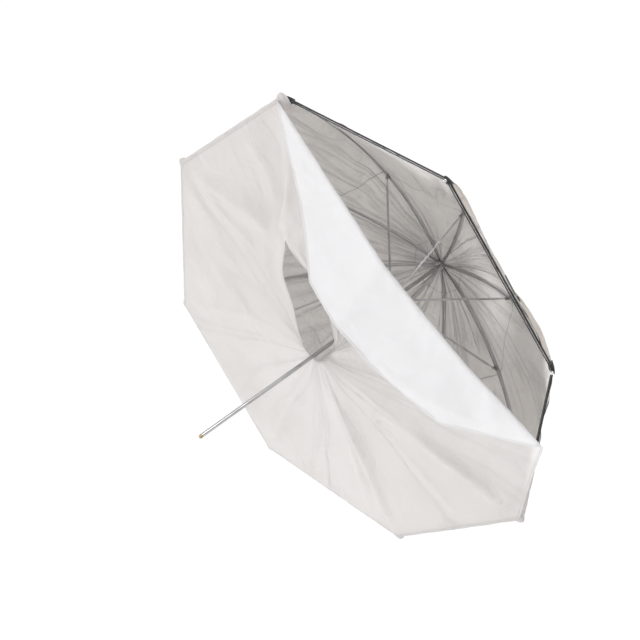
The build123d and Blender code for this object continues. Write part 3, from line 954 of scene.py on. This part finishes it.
HEM_COLUMNS = 32
COVER_HEM_PROFILE = [           # (out, back) from the rim, round behind the canopy's edge
    (0.0, 0.0),
    (0.0022, 0.0008),
    (0.0042, 0.004),
    (0.0052, 0.010),
    (0.0046, 0.017),
    (0.0020, 0.024),
    (-0.006, 0.031),
]
COVER_HEM_THICK = 0.0008


def make_cover_hems():
    """White hem of the cover, drawn round behind the canopy's edge, a length at each rib."""
    for number in range(1, 7):
        first, last = -1.0, 0.02 if number == 1 else 1.0
        rows = []
        for out, back in COVER_HEM_PROFILE:
            row = []
            for j in range(HEM_COLUMNS + 1):
                step = first + (last - first) * j / HEM_COLUMNS
                pucker = noise.noise(Vector((number * 3.1, step * 9, out * 60))) * 0.0012
                full = smooth((last - step) / 0.15) if number == 1 else 1.0
                row.append(rim_point(number, step, (out + pucker) * full, back * full))
            rows.append(row)
        piece = strip(f"cover_hem_{number}", rows, COVER_WHITE)
        thicken = piece.modifiers.new("thicken", "SOLIDIFY")
        thicken.thickness = COVER_HEM_THICK
        bake_down(piece)
        fold_cover(piece, number)


def make_corner_caps():
    """Pockets at the cover's corners that slip over the rib tips."""
    for number in range(1, 7):
        low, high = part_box(f"rib_tip_{number}")
        tip = (low + high) / 2
        out = Vector((sin(rib_angle(number)), 0, cos(rib_angle(number))))
        side = Vector(across(number))
        rows = []
        for i in range(9):
            part = i / 8
            ring = []
            wide = 0.0125 * (1 - part**3) ** 0.5 + 0.003
            deep = 0.008 * (1 - part**2) ** 0.6 + 0.003
            for j in range(24):
                turn = 2 * pi * j / 24
                pucker = 1 + 0.12 * sin(5 * turn + number) * (1 - part)
                at = tip + out * (-0.024 + 0.034 * part) + Vector((0, 0.002 - 0.004 * part, 0))
                at += side * wide * cos(turn) * pucker + Vector((0, deep * sin(turn) * pucker, 0))
                ring.append(at)
            rows.append(ring)
        centre = sum(rows[-1], Vector((0, 0, 0))) / 24 + out * 0.0015
        rows.append([centre] * 24)
        piece = strip(f"corner_cap_{number}", [row + row[:1] for row in rows], COVER_WHITE)
        made = bmesh.new()
        made.from_mesh(piece.data)
        bmesh.ops.remove_doubles(made, verts=made.verts[:], dist=0.00001)
        bmesh.ops.recalc_face_normals(made, faces=made.faces[:])
        made.to_mesh(piece.data)
        made.free()
        thicken = piece.modifiers.new("thicken", "SOLIDIFY")
        thicken.thickness = COVER_HEM_THICK
        refine(piece)
        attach(piece, f"rib_unit_{number}")


def make_cover():
    sheet, measures = cover_sheet()
    for mark, faces in cloth_parts(sheet).items():
        cad = COVER_NAMES[mark]
        number = cover_body(mark)
        # the folded-over parts take the copy of the cover cloth that is painted lighter, as if lit
        # brighter
        finish = FLAP_PAINTED_LIT_WHITE if mark > 6 else COVER_WHITE
        piece = two_faced(f"cover_{cad}", sheet, faces, CLOTH_THICK, finish, finish)
        fold_cover(piece, number)
        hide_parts(cad)
    bpy.data.objects.remove(sheet)


# --- strap --------------------------------------------------------------------------------------
STUD_SIDES = 32
STUD_PROFILE = [                # (radius, height) from the stud's rim to the top of its dome
    (0.0060, -0.0011),
    (0.0060, -0.0002),
    (0.0055, 0.0004),
    (0.0046, 0.0004),
    (0.0040, 0.0000),
    (0.0032, 0.0002),
    (0.0028, 0.0008),
    (0.0015, 0.0011),
    (0.0, 0.0012),
]


def strap_frame():
    """(middle, along, across, outward, size) of the strap, from the flat CAD bar it replaces."""
    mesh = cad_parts["tie_strap"].data
    largest = max(mesh.polygons, key=lambda face: face.area)
    outward = Vector(largest.normal)
    middle = sum((v.co for v in mesh.vertices), Vector()) / len(mesh.vertices)
    if outward.dot(Vector((middle.x, 0.0, middle.z))) < 0:
        outward.negate()
    edges = [mesh.vertices[b].co - mesh.vertices[a].co for a, b in mesh.edge_keys]
    along = max((e for e in edges if abs(e.y) < 0.001), key=lambda e: e.length).normalized()
    wide = outward.cross(along).normalized()
    size = []
    for axis in (along, wide, outward):
        reach = [(v.co - middle).dot(axis) for v in mesh.vertices]
        size.append(max(reach) - min(reach))
    return middle, along, wide, outward, size


def make_strap():
    """Webbing strap with tapered ends and a fine cross rib, and its press stud."""
    middle, along, wide, outward, (length, width, thick) = strap_frame()
    columns, ring = 60, 16
    rows = []
    for i in range(ring):
        turn = 2 * pi * i / ring
        flat = (abs(cos(turn)) ** 0.35) * (1 if cos(turn) > 0 else -1) * width / 2
        high = (abs(sin(turn)) ** 0.6) * (1 if sin(turn) > 0 else -1) * thick / 2
        row = []
        for j in range(columns + 1):
            part = j / columns
            end = min(1.0, 18 * min(part, 1 - part) + 0.05) ** 0.5
            rib = 1 + 0.05 * sin(2 * pi * part * 22)
            at = middle + along * length * (part - 0.5) + wide * flat * (0.9 + 0.1 * end)
            row.append(at + outward * high * 0.9 * rib * end)
        rows.append(row)
    strap = strip("closing_strap", rows, BLACK_TAPE, closed=True)
    fold_with(strap, 7)
    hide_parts("tie_strap")

    low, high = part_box("strap_snap")
    stud_middle = (low + high) / 2
    rows = []
    for r, up in STUD_PROFILE:
        row = []
        for k in range(STUD_SIDES + 1):
            turn = 2 * pi * k / STUD_SIDES
            row.append(stud_middle + (along * cos(turn) + wide * sin(turn)) * r + outward * up)
        rows.append(row)
    stud = strip("strap_stud", rows, SNAP_BLACK)
    fold_with(stud, 7)
    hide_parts("strap_snap")


# --- studio --------------------------------------------------------------------------------------
FLOOR_Z = -1.5
CAMERA_PLACE = (1.7893, -1.4721, 1.1183)
CAMERA_RIGHT = (0.70733, 0.66350, -0.24385)
CAMERA_UP = (-0.12922, 0.46051, 0.87820)
CAMERA_BACK = (0.69498, -0.58966, 0.41147)
LENS = 73.6


def make_studio():
    floor = new_piece(
        "floor",
        [(-30, -30, FLOOR_Z), (30, -30, FLOOR_Z), (30, 30, FLOOR_Z), (-30, 30, FLOOR_Z)],
        [(0, 1, 2, 3)],
        new_material("pale floor", (0.96, 0.96, 0.96), 0.9)[0],
    )
    world = bpy.data.worlds.new("studio")
    world.use_nodes = True
    world.node_tree.nodes["Background"].inputs["Color"].default_value = (1, 1, 1, 1)
    world.node_tree.nodes["Background"].inputs["Strength"].default_value = 0.55
    bpy.context.scene.world = world
    bpy.context.scene.view_settings.view_transform = "Standard"


def add_sun(name, toward, spread, strength):
    """Broad soft light that shines from that direction."""
    light = bpy.data.lights.new(name, "SUN")
    light.angle = spread
    light.energy = strength
    made = bpy.data.objects.new(name, light)
    made.rotation_euler = Vector(toward).to_track_quat("Z", "Y").to_euler()
    bpy.context.scene.collection.objects.link(made)


def make_camera():
    data = bpy.data.cameras.new("camera")
    data.lens = LENS
    data.sensor_width = 36
    camera = bpy.data.objects.new("camera", data)
    turn = Matrix((CAMERA_RIGHT, CAMERA_UP, CAMERA_BACK)).transposed().to_4x4()
    camera.matrix_world = Matrix.Translation(CAMERA_PLACE) @ turn
    bpy.context.scene.collection.objects.link(camera)
    bpy.context.scene.camera = camera


make_studio()
make_camera()
# one broad light from above and behind, and one on the cover
add_sun("key", (0.35, 0.25, 0.95), radians(40), 1.4)
add_sun("front", (-0.60, -1.0, 0.28), radians(22), 1.75)
paint_frame()
make_canopy()
make_hems()
make_tip_pockets()
make_zip()
make_cover()
make_cover_hems()
make_corner_caps()
make_strap()
